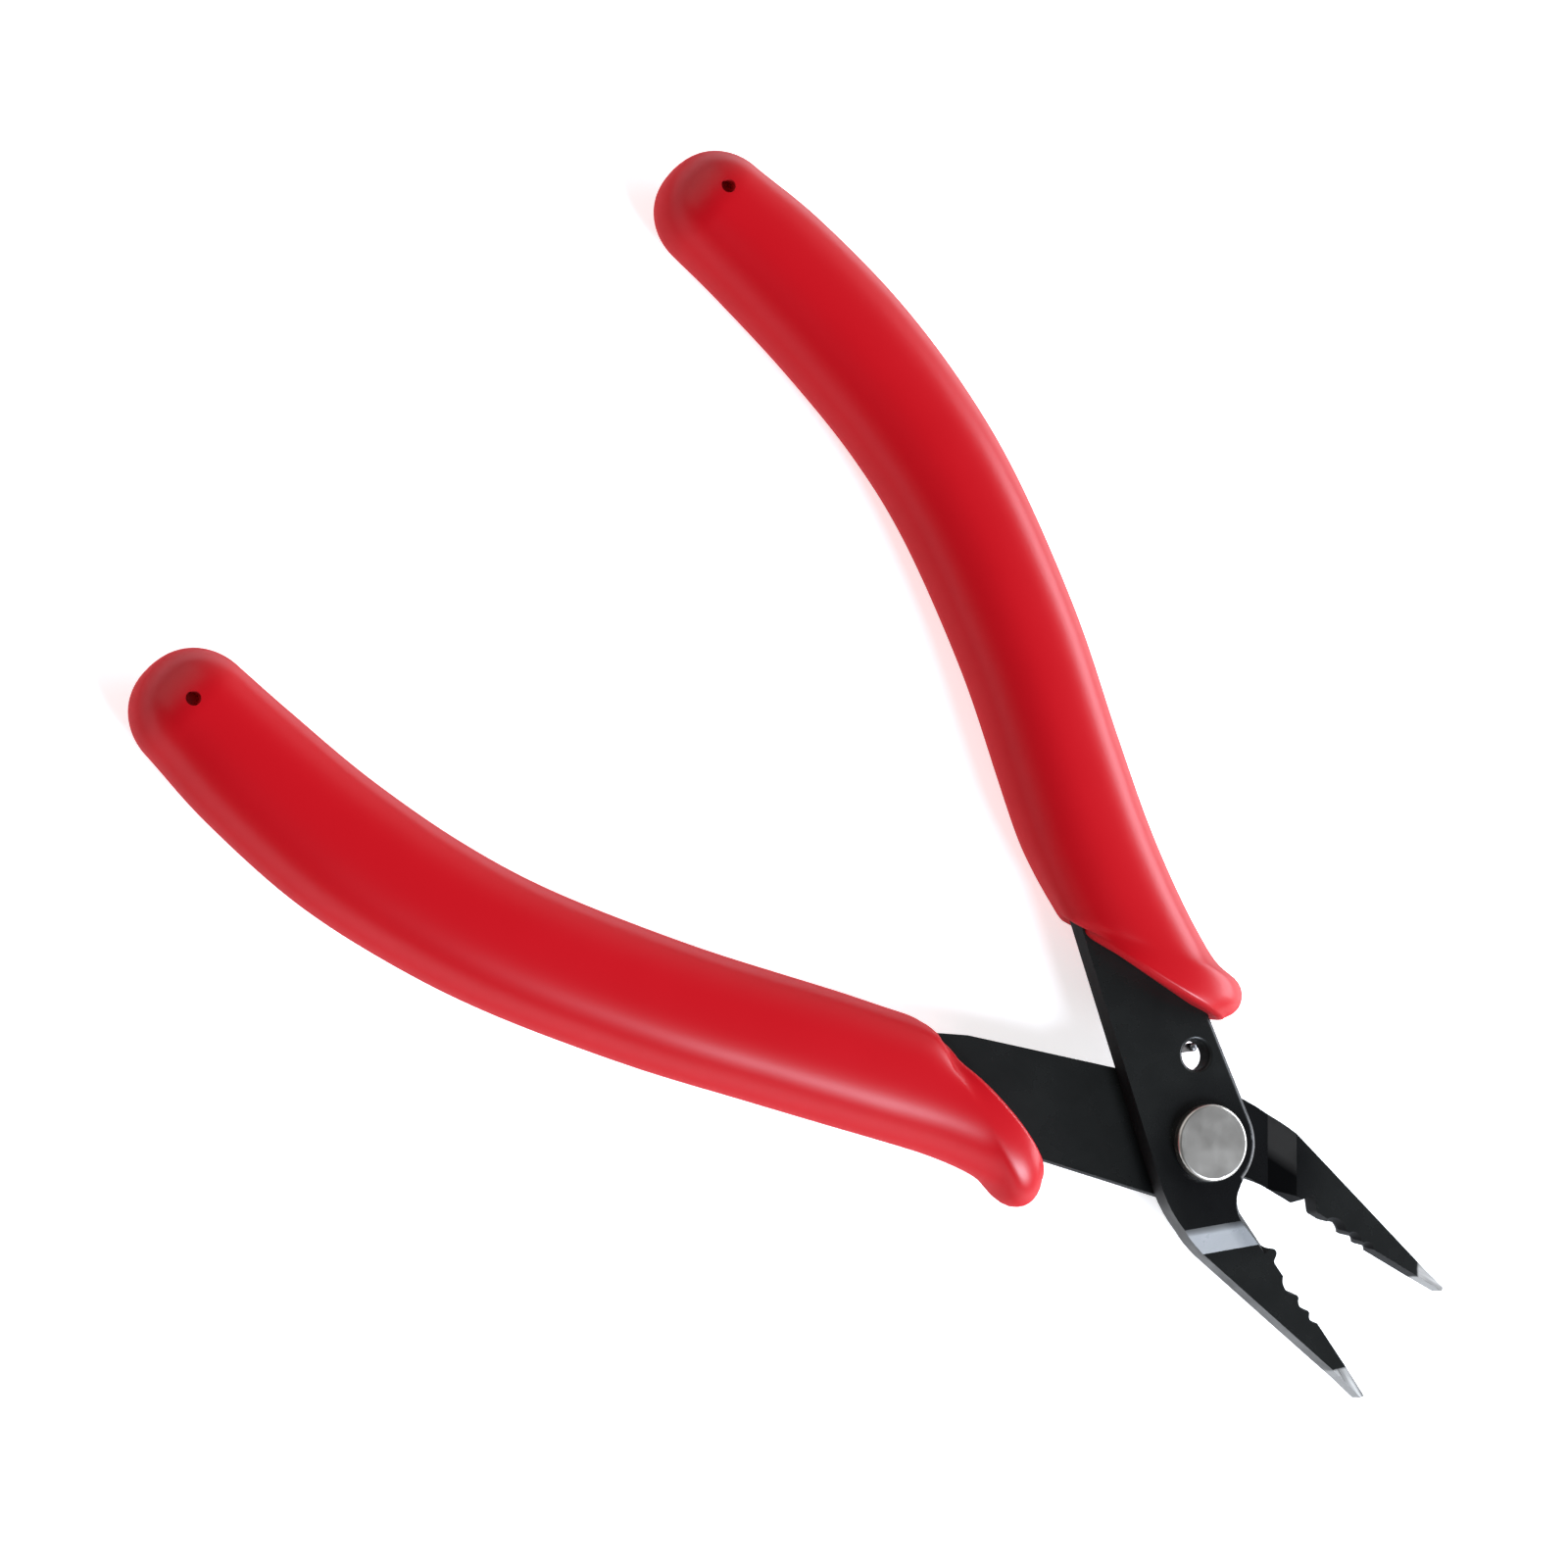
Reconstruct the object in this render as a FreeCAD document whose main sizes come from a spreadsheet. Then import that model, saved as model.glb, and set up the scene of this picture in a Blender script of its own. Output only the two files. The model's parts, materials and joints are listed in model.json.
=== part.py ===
import FreeCAD, Part
import math
import os
import Sketcher

# Small stamped-steel pliers with notched stripping jaws, soft grips and a return spring.
#
# Two mirrored levers cross on a rivet and lie one on the other.  Each is stamped from flat plate and has an
# offset bend (joggle) of half the plate, so that the two jaws close in one plane.  A soft sleeve is pushed
# on each tang, and a wire spring under the rivet's tail holds the handles apart.
#
# A lever is drawn in its own frame: the pivot at the origin, +X along the closing line of the jaws, +Y to
# the side that its handle bends to, and z = 0 at the face where the two levers touch.  The rear lever is
# the same drawing turned over.  The assembly stands half open, its bisector along +X, and its origin is at
# the middle of the underside of its bounding box.

V = FreeCAD.Vector
doc = FreeCAD.newDocument("notched_pliers")

# ---------------------------------------------------------------- driving dimensions (mm and degrees)
DIMENSIONS = {
    "plate": (2.0, "thickness of the stamped plate"),
    "half_opening": (13.03, "angle of each jaw from the bisector at rest"),
    "closing_gap": (0.03, "each jaw stops this far short of the closing line"),
    "set_over": (0.33, "the closing line passes this far beside the pivot, on the rear handle's side"),
    "jaw_reach": (28.4, "pivot to jaw tip"),
    "joggle_start": (7.36, "pivot to the first bend of the joggle"),
    "joggle_end": (9.85, "pivot to the second bend of the joggle"),
    "joggle_slant": (27.0, "angle of the bends from square across the lever"),
    "cutter_start": (7.8, "start of the bevelled cutter, along the closing line"),
    "neck_round": (1.7, "rounding of the neck between the boss and the cutter"),
    "cutter_end": (11.2, "end of the bevelled cutter"),
    "cutter_taper": (31.0, "angle of each cutter bevel from the plate's normal"),
    "notch_taper": (19.0, "angle of the countersunk notch walls from the plate's normal"),
    "tip_grind_start": (22.4, "pivot to the start of the ground tip facets, square to their slant"),
    "tip_slant": (27.0, "angle of the facets' start from square across the jaw"),
    "tip_grind_depth": (0.35, "how much each facet takes off at the tip"),
    "shank": (4.0, "rivet shank diameter"),
    "running_gap": (0.04, "radial clearance of the shank in the front lever"),
    "head_diameter": (7.1, "rivet head diameter"),
    "head_height": (1.0, "rivet head height above the front lever"),
    "head_round": (0.3, "rounding of the rivet head's rim"),
    "spigot": (3.2, "diameter of the rivet's tail, inside the spring"),
    "tail_length": (2.9, "rivet tail below the rear lever"),
    "peened_diameter": (4.8, "diameter of the tail where it is peened over the washer"),
    "washer_diameter": (7.0, "diameter of the washer that keeps the spring"),
    "washer_plate": (0.4, "thickness of that washer"),
    "washer_drop": (2.22, "top of the washer below the rear lever"),
    "anchor_hole": (2.8, "diameter of the spring hole in the front lever"),
    "anchor_rim": (0.35, "rounding of the spring hole's outer rim"),
    "anchor_x": (-7.2, "spring hole along the lever"),
    "anchor_y": (3.85, "spring hole across the lever"),
    "wire": (0.8, "spring wire diameter"),
    "coil_radius": (2.45, "spring coil, pivot axis to wire centre"),
    "coil_pitch": (0.86, "drop of the coil in one turn"),
    "grip_depth": (10.0, "thickness of a grip"),
    "rim_round": (0.6, "rounding of the plate's outer edge along the handle and round the boss"),
    "grip_edge": (1.8, "rounding of a grip's edges"),
    "grip_slide": (-4.9, "the rear grip sits this much further out along its tang"),
    "grip_lift": (2.4, "and this much further from the closing line"),
    "pin_mark": (1.3, "diameter of the blind moulding-pin hole near a grip's end"),
    "pin_mark_depth": (3.0, "depth of that hole"),
}


def make_sheet():
    """Write the driving dimensions to a spreadsheet, one alias per row."""
    page = doc.addObject("Spreadsheet::Sheet", "dims")
    for row, (alias, (value, note)) in enumerate(DIMENSIONS.items(), start=1):
        page.set(f"A{row}", alias)
        page.set(f"B{row}", str(value))
        page.set(f"C{row}", note)
        page.setAlias(f"B{row}", alias)
    doc.recompute()
    return page


sheet = make_sheet()


def dim(alias):
    """Value of one driving dimension."""
    return float(sheet.get(alias))


# ---------------------------------------------------------------- drawing helpers
class Outline:
    """A run of joined sketch curves, drawn from point to point."""

    def __init__(self, x, y):
        self.first = V(x, y, 0)
        self.last = self.first
        self.curves = []

    def line(self, x, y):
        end = V(x, y, 0)
        self.curves.append(Part.LineSegment(self.last, end))
        self.last = end
        return self

    def arc(self, via, end):
        end = V(*end, 0)
        self.curves.append(Part.Arc(self.last, V(*via, 0), end))
        self.last = end
        return self

    def curve(self, *points):
        points = [V(x, y, 0) for x, y in points]
        spline = Part.BSplineCurve()
        spline.interpolate([self.last] + points)
        self.curves.append(spline)
        self.last = points[-1]
        return self

    def close(self):
        if self.last.distanceToPoint(self.first) > 1e-6:
            self.line(self.first.x, self.first.y)
        return self.curves


def new_body(label):
    """A PartDesign body with the node's name."""
    body = doc.addObject("PartDesign::Body", label + "_body")
    body.Label = label
    return body


def new_sketch(body, name, role, curves, offset=None):
    """A sketch on one of the body's own origin planes."""
    sketch = body.newObject("Sketcher::SketchObject", name)
    plane = [f for f in body.Origin.OriginFeatures if f.Role == role][0]
    sketch.AttachmentSupport = [(plane, "")]
    sketch.MapMode = "FlatFace"
    if offset is not None:
        sketch.AttachmentOffset = offset
    for curve in curves:
        sketch.addGeometry(curve, False)
    doc.recompute()
    return sketch


def beside(turned_over):
    """Shift of a lever's drawing from the pivot, in the lever's own frame."""
    return V(0, dim("set_over") * (1 if turned_over else -1), 0)


def circle_sketch(body, name, x, y, diameter, centre=("", "")):
    """A sketch of one circle, its diameter and centre bound to the sheet where aliases are given."""
    sketch = new_sketch(body, name, "XY_Plane", [Part.Circle(V(x, y, 0), V(0, 0, 1), dim(diameter) / 2)])
    size = sketch.addConstraint(Sketcher.Constraint("Diameter", 0, dim(diameter)))
    sketch.setExpression(f"Constraints[{size}]", f"dims.{diameter}")
    for kind, alias, value in (("DistanceX", centre[0], x), ("DistanceY", centre[1], y)):
        if alias:
            place = sketch.addConstraint(Sketcher.Constraint(kind, -1, 1, 0, 3, value))
            sketch.setExpression(f"Constraints[{place}]", f"dims.{alias}")
    return sketch


def cut(body, name, sketch, length=None, taper=None, both_ways=True, reverse=False):
    """A pocket, through all or of a bound length and taper, checked to take material away."""
    before = body.Shape.Volume
    pocket = body.newObject("PartDesign::Pocket", name)
    pocket.Profile = sketch
    pocket.Reversed = reverse
    if length is None:
        pocket.Type = "ThroughAll"
        pocket.SideType = "Symmetric"
    else:
        pocket.setExpression("Length", length)
    if taper is not None:
        pocket.setExpression("TaperAngle", taper)
    if length is not None and both_ways:
        pocket.SideType = "Two sides"
        pocket.setExpression("Length2", length)
        pocket.setExpression("TaperAngle2", taper)
    doc.recompute()
    if not body.Shape.Volume < before - 1e-4:
        raise RuntimeError(f"{name} cuts nothing")
    return pocket


# ---------------------------------------------------------------- levers
# Straight edges of a lever, each as height at x = 0 and slope.
HANDLE_EDGE = (5.54, -0.222)
CROTCH_EDGE = (-5.83, -0.318)
JAW_BACK = (-8.02, 0.2735)
BOSS_CENTRE = V(-0.1, 0.45, 0)

# Middle line of the tang, from the grip's mouth to its end, and its half width.
TANG_MIDDLE = [(-35, 9.2), (-50, 13.0), (-65, 15.0), (-80, 14.4), (-91, 12.1)]
TANG_HALF = 3.3


def on_edge(edge, x):
    """Point of a straight edge at x."""
    return (x, edge[0] + edge[1] * x)


def boss_tangent():
    """Where the handle edge touches the round boss about the pivot, and the boss radius."""
    height, slope = HANDLE_EDGE
    normal = V(-slope, 1, 0).normalize()
    radius = (V(0, height, 0) - BOSS_CENTRE).dot(normal)
    touch = BOSS_CENTRE + normal * radius
    return (touch.x, touch.y), radius


def tang_side(side, shift):
    """Points along one side of the tang, offset square from its middle line."""
    points = []
    for (x, y), (nx, ny) in zip(TANG_MIDDLE, TANG_MIDDLE[1:] + [(-94, 11.3)]):
        square = V(y - ny, nx - x, 0).normalize() * (-side * TANG_HALF)
        points.append((x + shift[0] + square.x, y + shift[1] + square.y))
    return points


def add_tang(outline, shift):
    """Draw on from the crotch edge round the tang and back to the handle edge."""
    lower, upper = tang_side(-1, shift), tang_side(1, shift)
    end_x, end_y = TANG_MIDDLE[-1]
    outline.line(*on_edge(CROTCH_EDGE, -25))
    outline.curve(*lower)
    outline.arc((end_x + shift[0] - TANG_HALF, end_y + shift[1] - 0.7), upper[-1])
    outline.curve(*upper[-2::-1], on_edge(HANDLE_EDGE, -20))
    return outline


def lever_outline(horned, shift):
    """Blank of one lever.  The horned jaw has a tooth that closes into the other jaw's V notch."""
    gap = -dim("closing_gap")
    reach = dim("jaw_reach")
    touch, boss = boss_tangent()
    def on_boss(degrees):
        turn = math.radians(degrees)
        return (BOSS_CENTRE.x + boss * math.cos(turn), BOSS_CENTRE.y + boss * math.sin(turn))

    neck = (6.1, gap)
    blank = Outline(*neck).line(11.3 if horned else 10.9, gap)
    if horned:
        blank.curve((11.75, 0.18), (12.15, 0.5), (12.5, 0.42), (12.8, -0.05), (13.1, -0.3))
    else:
        blank.line(12.12, -1.45).arc((12.3, -1.55), (12.45, -1.42)).line(13.15, -0.42)
        blank.arc((13.35, -0.32), (13.6, -0.3))
    # the edge between the notches steps up to the flat nose
    blank.line(14.6, -0.3).line(16.8, -0.18).line(18.7, -0.12).line(20.1, gap)
    blank.line(reach - 0.05, gap).line(reach, gap - 0.05).line(reach - 0.05, -0.42).line(*on_edge(JAW_BACK, 25.5))
    join, bend = (6.9, (3.9, -6.5)) if horned else (8.2, (4.5, -6.27))
    blank.line(*on_edge(JAW_BACK, join)).arc(bend, on_edge(CROTCH_EDGE, 0.88))
    add_tang(blank, shift)
    blank.line(*touch).arc(on_boss(40), on_boss(12)).arc((5.17, 0.5), neck)
    return blank.close()


def slanted(alias, seat):
    """Seat of a side view that looks along a cut slanting across the seated lever."""
    angle = dim(alias)
    along = V(-seat.Base.y * math.sin(math.radians(angle)), 0, 0)
    turn = FreeCAD.Placement(V(), FreeCAD.Rotation(V(0, 1, 0), -angle))
    return turn * FreeCAD.Placement(along, FreeCAD.Rotation())


def round_edges(body, name, radius, wanted):
    """Fillet the edges of the body for which wanted(edge, its faces) holds."""
    base = body.Tip
    edges = []
    for number, edge in enumerate(base.Shape.Edges, start=1):
        if wanted(edge, base.Shape.ancestorsOfType(edge, Part.Face)):
            edges.append(f"Edge{number}")
    fillet = body.newObject("PartDesign::Fillet", name)
    fillet.Base = (base, edges)
    fillet.setExpression("Radius", radius)
    doc.recompute()


def cut_joggle(body, label, seat):
    """Trim the thick blank to a plate with an offset bend, above and below."""
    plate, drop = dim("plate"), dim("plate") / 2
    start, end, far = dim("joggle_start"), dim("joggle_end"), 130.0
    above = Outline(start, plate).line(end, plate - drop).line(far, plate - drop).line(far, plate + drop)
    below = Outline(end, -drop).line(start, 0).line(-far, 0).line(-far, -plate)
    for name, shape in (
        ("above", above.line(start, plate + drop).close()),
        ("below", below.line(end, -plate).close()),
    ):
        sketch = new_sketch(body, f"{label}_{name}_bend", "XZ_Plane", shape, slanted("joggle_slant", seat))
        cut(body, f"{label}_trim_{name}", sketch)


def cut_cutter(body, label, seat):
    """Grind the cutter to an edge at z = 0, with a bevel to each face."""
    gap = -dim("closing_gap")
    start, end = dim("cutter_start"), dim("cutter_end")
    neck = dim("neck_round")
    turned = neck * math.sqrt(0.5)
    ground = Outline(end, gap).line(end, 2.5).line(start - neck, 2.5).line(start - neck, gap + neck)
    ground.arc((start - turned, gap + neck - turned), (start, gap))
    sketch = new_sketch(body, f"{label}_cutter", "XY_Plane", ground.close(), seat)
    cut(body, f"{label}_bevels", sketch, "dims.plate", "dims.cutter_taper")


# Stripping notches: centre along and across the jaw, and radius at the middle of the plate.
NOTCHES = [(15.65, 0.5, 1.0), (17.85, 0.25, 0.5), (19.5, 0.2, 0.32)]


def cut_notches(body, label, seat):
    """Countersink the stripping notches from the middle of the plate to both faces."""
    for number, (x, y, radius) in enumerate(NOTCHES, start=1):
        ring = [Part.Circle(V(x, y, 0), V(0, 0, 1), radius)]
        sketch = new_sketch(body, f"{label}_notch_{number}", "XY_Plane", ring, seat)
        cut(body, f"{label}_countersink_{number}", sketch, "dims.plate", "dims.notch_taper")


def grind_tip(body, label, seat):
    """Grind a facet on both faces of the jaw's tip."""
    half, depth = dim("plate") / 2, dim("tip_grind_depth")
    start, reach = dim("tip_grind_start"), dim("jaw_reach")
    facets = []
    for side in (1, -1):
        facets += Outline(start, side * half).line(reach, side * (half - depth)).line(reach, side * 3).close()
    sketch = new_sketch(body, f"{label}_facets", "XZ_Plane", facets, slanted("tip_slant", seat))
    cut(body, f"{label}_ground_tip", sketch)


def is_outer_rim(edge, faces):
    """Outer edge of the plate along the bare handle and round the boss."""
    leans = sorted(face.normalAt(0, 0).z for face in faces)
    middle = edge.valueAt((edge.FirstParameter + edge.LastParameter) / 2)
    return abs(leans[0]) < 0.01 and leans[1] > 0.5 and middle.x > -20 and middle.y > 1


def is_anchor_rim(edge, faces):
    """Outer rim of the spring hole."""
    round_one = edge.Closed and abs(edge.Curve.Radius - dim("anchor_hole") / 2) < 0.01
    return round_one and edge.Vertexes[0].Z > dim("plate") - 0.01


def make_lever(label, horned, shift, bore, turned_over):
    """One lever, from its blank to its finished jaw.  Only the front lever has the spring's hole."""
    body = new_body(label)
    seat = FreeCAD.Placement(beside(turned_over), FreeCAD.Rotation())
    sketch = new_sketch(body, f"{label}_blank", "XY_Plane", lever_outline(horned, shift), seat)
    pad = body.newObject("PartDesign::Pad", f"{label}_pad")
    pad.Profile = sketch
    pad.SideType = "Two sides"
    pad.setExpression("Length", "dims.plate")
    pad.setExpression("Length2", "dims.plate / 2")
    doc.recompute()
    cut_joggle(body, label, seat)
    round_edges(body, f"{label}_rims", "dims.rim_round", is_outer_rim)
    cut_cutter(body, label, seat)
    cut_notches(body, label, seat)
    grind_tip(body, label, seat)
    hole = circle_sketch(body, f"{label}_bore", 0, 0, "shank")
    hole.setExpression("Constraints[0]", bore)
    doc.recompute()
    cut(body, f"{label}_pivot_hole", hole)
    if not turned_over:
        place = (dim("anchor_x"), dim("anchor_y"))
        anchor = circle_sketch(body, f"{label}_anchor", *place, "anchor_hole", ("anchor_x", "anchor_y"))
        cut(body, f"{label}_anchor_hole", anchor)
        round_edges(body, f"{label}_anchor_rim", "dims.anchor_rim", is_anchor_rim)
    return body


# ---------------------------------------------------------------- rivet, washer and spring
def make_rivet():
    """Headed rivet: its shank runs in the front lever and its stepped tail is peened over the washer."""
    body = new_body("pivot_rivet")
    top, head = dim("plate") + dim("head_height"), dim("head_diameter") / 2
    shank, spigot, rim = dim("shank") / 2, dim("spigot") / 2, dim("head_round")
    step, peen = -dim("plate"), dim("peened_diameter") / 2
    seat = step - dim("washer_drop") - dim("washer_plate")
    foot = step - dim("tail_length")
    turned = rim * (1 - math.sqrt(0.5))
    half = Outline(0, top).line(head - rim, top).arc((head - turned, top - turned), (head, top - rim))
    half.line(head, -step).line(shank, -step).line(shank, step).line(spigot, step).line(spigot, seat)
    half.line(peen, seat).arc((peen - 0.3, foot + 0.07), (peen - 0.8, foot)).line(0, foot)
    sketch = new_sketch(body, "rivet_half", "XZ_Plane", half.close())
    turn = body.newObject("PartDesign::Revolution", "rivet_turn")
    turn.Profile = sketch
    turn.ReferenceAxis = (sketch, ["V_Axis"])
    turn.Angle = 360
    doc.recompute()
    return body


def make_washer():
    """Flat washer above the peened tail."""
    body = new_body("spring_washer")
    ring = circle_sketch(body, "washer_rim", 0, 0, "washer_diameter")
    ring.addGeometry(Part.Circle(V(0, 0, 0), V(0, 0, 1), dim("spigot") / 2), False)
    bore = ring.addConstraint(Sketcher.Constraint("Diameter", 1, dim("spigot")))
    ring.setExpression(f"Constraints[{bore}]", "dims.spigot")
    pad = body.newObject("PartDesign::Pad", "washer_pad")
    pad.Profile = ring
    pad.Reversed = True
    pad.setExpression("Length", "dims.washer_plate")
    doc.recompute()
    return body


def to_rest(x, y, half_angle, turned_over):
    """Point of a lever's own frame, in the assembly about the pivot."""
    turn = math.radians(half_angle if turned_over else -half_angle)
    if turned_over:
        y = -y
    return V(x * math.cos(turn) - y * math.sin(turn), x * math.sin(turn) + y * math.cos(turn), 0)


def make_spring():
    """Round wire: one coil about the rivet's tail and a leg hooked up to each lever."""
    radius, wire = dim("coil_radius"), dim("wire")
    top = -dim("plate") - wire / 2 - 0.08
    hook = to_rest(dim("anchor_x") - 0.7, dim("anchor_y") + 0.3, dim("half_opening"), False)
    stop_x = -9.0
    stop_y = CROTCH_EDGE[0] + CROTCH_EDGE[1] * stop_x + dim("set_over") - wire / 2 - 0.05
    stop = to_rest(stop_x, stop_y, dim("half_opening"), True)

    def leave(point):
        """Angle at which a tangent from the point meets the coil."""
        return math.atan2(point.y, point.x), math.acos(radius / point.Length)

    hook_angle, hook_turn = leave(hook)
    stop_angle, stop_turn = leave(stop)
    start = hook_angle - hook_turn
    turned = start - (stop_angle + stop_turn) + 4 * math.pi
    steps = 24

    def on_coil(share):
        angle = start - turned * share
        drop = dim("coil_pitch") * turned / (2 * math.pi) * share
        return V(radius * math.cos(angle), radius * math.sin(angle), top - drop)

    coil = Part.BSplineCurve()
    coil.interpolate([on_coil(i / steps) for i in range(steps + 1)])
    bend = 1.0

    def leg(foot, point, rise):
        """Straight leg from the coil, a small bend, and the hook that stands up from it."""
        point = V(point.x, point.y, foot.z)
        along = (point - foot).normalize()
        turn_in, turn_out = point - along * bend, point + V(0, 0, bend)
        middle = point + (V(0, 0, 1) - along) * bend * (1 - math.sqrt(0.5))
        shank = Part.LineSegment(foot, turn_in).toShape()
        arc = Part.Arc(turn_in, middle, turn_out).toShape()
        return [shank, arc, Part.LineSegment(turn_out, V(point.x, point.y, rise)).toShape()]

    hook_leg = leg(on_coil(0), hook, dim("plate") - 0.3)
    stop_leg = leg(on_coil(1), stop, -0.3)
    first = hook_leg[-1].Vertexes[-1].Point
    path = Part.Wire(Part.__sortEdges__(hook_leg + [coil.toShape()] + stop_leg))
    section = Part.Wire(Part.Circle(first, V(0, 0, 1), wire / 2).toShape())
    spring = doc.addObject("Part::Feature", "return_spring")
    spring.Label = "return_spring"
    spring.Shape = path.makePipeShell([section], True, False, 0)
    swept = path.Length * math.pi * wire**2 / 4
    if abs(spring.Shape.Volume - swept) > 0.02 * swept:
        raise RuntimeError("the spring's sweep went wrong")
    return spring


# ---------------------------------------------------------------- grips
def grip_outline():
    """Side view of a grip: guard lobe at the front, slanting mouth, bowed sleeve, round end."""
    grip = Outline(-9.8, 11.8)
    grip.curve((-11.5, 11.2), (-14.2, 10.85), (-18.5, 11.35), (-30, 13.9), (-45, 17.85), (-60, 20.6),
               (-70, 21.2), (-80, 20.55), (-90, 18.35), (-97.1, 15.9))
    grip.arc((-101.05, 9.3), (-94.3, 5.5))
    grip.curve((-90, 6.4), (-80, 8.2), (-70, 9.1), (-60, 8.6), (-45, 5.7), (-30, 1.75), (-26, 0.75))
    grip.arc((-24.3, 0.6), (-23.2, 1.35))
    grip.curve((-20.8, 1.85), (-17.5, 3.2), (-14, 4.7), (-11.5, 5.95), (-9.2, 7.0))
    grip.arc((-7.7, 9.4), (-8.3, 11.1))
    return grip.arc((-9.0, 11.68), (-9.8, 11.8)).close()


def far_mouth():
    """What is cut from the mouth on the tang's far side, which lies further back than on its near side."""
    front = Outline(-29.5, 0)
    front.curve((-27.4, 1.45), (-24.2, 2.65), (-20.3, 3.95), (-16, 4.95), (-12, 6.5), (-9.6, 7.6), (-6.5, 8.6))
    return front.line(-6.5, 0).close()


def make_grip(label, shift, turned_over):
    """One soft sleeve, hollowed by its lever's tang.  The sleeve is drawn at the shifted place."""
    body = new_body(label)
    seat = FreeCAD.Placement(beside(turned_over), FreeCAD.Rotation())
    moved = FreeCAD.Placement(V(*shift, 0), FreeCAD.Rotation())
    sketch = new_sketch(body, f"{label}_side", "XY_Plane", grip_outline(), moved)
    pad = body.newObject("PartDesign::Pad", f"{label}_pad")
    pad.Profile = sketch
    pad.SideType = "Symmetric"
    pad.setExpression("Length", "dims.grip_depth")
    doc.recompute()
    level = dim("grip_depth") / 2
    rims = [
        f"Edge{number}"
        for number, edge in enumerate(pad.Shape.Edges, start=1)
        if edge.BoundBox.ZLength < 1e-6
    ]
    fillet = body.newObject("PartDesign::Fillet", f"{label}_round")
    fillet.Base = (pad, rims)
    fillet.setExpression("Radius", "dims.grip_edge")
    doc.recompute()
    mouth = new_sketch(body, f"{label}_far_mouth", "XY_Plane", far_mouth(), moved)
    cut(body, f"{label}_set_back", mouth, "dims.grip_depth / 2", None, False)
    hollow = Outline(*on_edge(CROTCH_EDGE, -5))
    add_tang(hollow, shift).line(*on_edge(HANDLE_EDGE, -5))
    tang = new_sketch(body, f"{label}_tang", "XY_Plane", hollow.close(), seat)
    cut(body, f"{label}_hollow", tang, "dims.plate", None, False, True)
    face = moved * FreeCAD.Placement(V(0, 0, -level if turned_over else level), FreeCAD.Rotation())
    ring = [Part.Circle(V(-97.0, 10.9, 0), V(0, 0, 1), dim("pin_mark") / 2)]
    mark = new_sketch(body, f"{label}_pin", "XY_Plane", ring, face)
    cut(body, f"{label}_pin_mark", mark, "dims.pin_mark_depth", None, False, turned_over)
    return body


# ---------------------------------------------------------------- assembly
def build():
    """Make every sub-part in its own frame."""
    rear_shift = (dim("grip_slide"), dim("grip_lift"))
    running = "dims.shank + 2 * dims.running_gap"
    return {
        "front_lever": make_lever("front_lever", True, (0, 0), running, False),
        "front_grip": make_grip("front_grip", (0, 0), False),
        "rear_lever": make_lever("rear_lever", False, rear_shift, "dims.shank", True),
        "rear_grip": make_grip("rear_grip", rear_shift, True),
        "pivot_rivet": make_rivet(),
        "spring_washer": make_washer(),
        "return_spring": make_spring(),
    }


def place(nodes):
    """Open the levers, then bring the origin under the middle of the bounding box."""
    opened = dim("half_opening")
    front = FreeCAD.Placement(V(0, 0, 0), FreeCAD.Rotation(V(0, 0, 1), -opened))
    over = FreeCAD.Rotation(V(1, 0, 0), 180)
    rear = FreeCAD.Placement(V(0, 0, 0), FreeCAD.Rotation(V(0, 0, 1), opened) * over)
    seats = {
        "front_lever": front,
        "front_grip": front,
        "rear_lever": rear,
        "rear_grip": rear,
        "spring_washer": FreeCAD.Placement(V(0, 0, -dim("plate") - dim("washer_drop")), FreeCAD.Rotation()),
    }
    box = FreeCAD.BoundBox()
    for name, node in nodes.items():
        node.Placement = seats.get(name, FreeCAD.Placement())
        box.add(node.Shape.optimalBoundingBox(False, False))
    base = V(round(box.Center.x, 2), round(box.Center.y, 2), -dim("grip_depth") / 2)
    for node in nodes.values():
        node.Placement = FreeCAD.Placement(-base, FreeCAD.Rotation()) * node.Placement
    doc.recompute()
    print("pivot at", -base, "box", box.XLength, box.YLength, box.ZLength)


def write(nodes):
    """Check every object, then export each node."""
    for item in doc.Objects:
        if "Invalid" in item.State or "Error" in item.State:
            raise RuntimeError(f"{item.Name} is in error")
    os.makedirs("parts", exist_ok=True)
    for name, node in nodes.items():
        shape = node.Shape
        if shape.isNull() or not shape.isValid() or len(shape.Solids) != 1:
            raise RuntimeError(f"{name} is not one valid solid")
        shape.exportStep(f"parts/{name}.step")
        print(name, "volume", round(shape.Volume, 2), "box", shape.BoundBox)


nodes = build()
place(nodes)
write(nodes)
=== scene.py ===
"""Looks for the notched stripping pliers: soft grips, blackened plate, bare ground tips and a wire spring."""

import json
import math

import bmesh
import bpy
import numpy as np
from mathutils import Matrix, Vector


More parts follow.
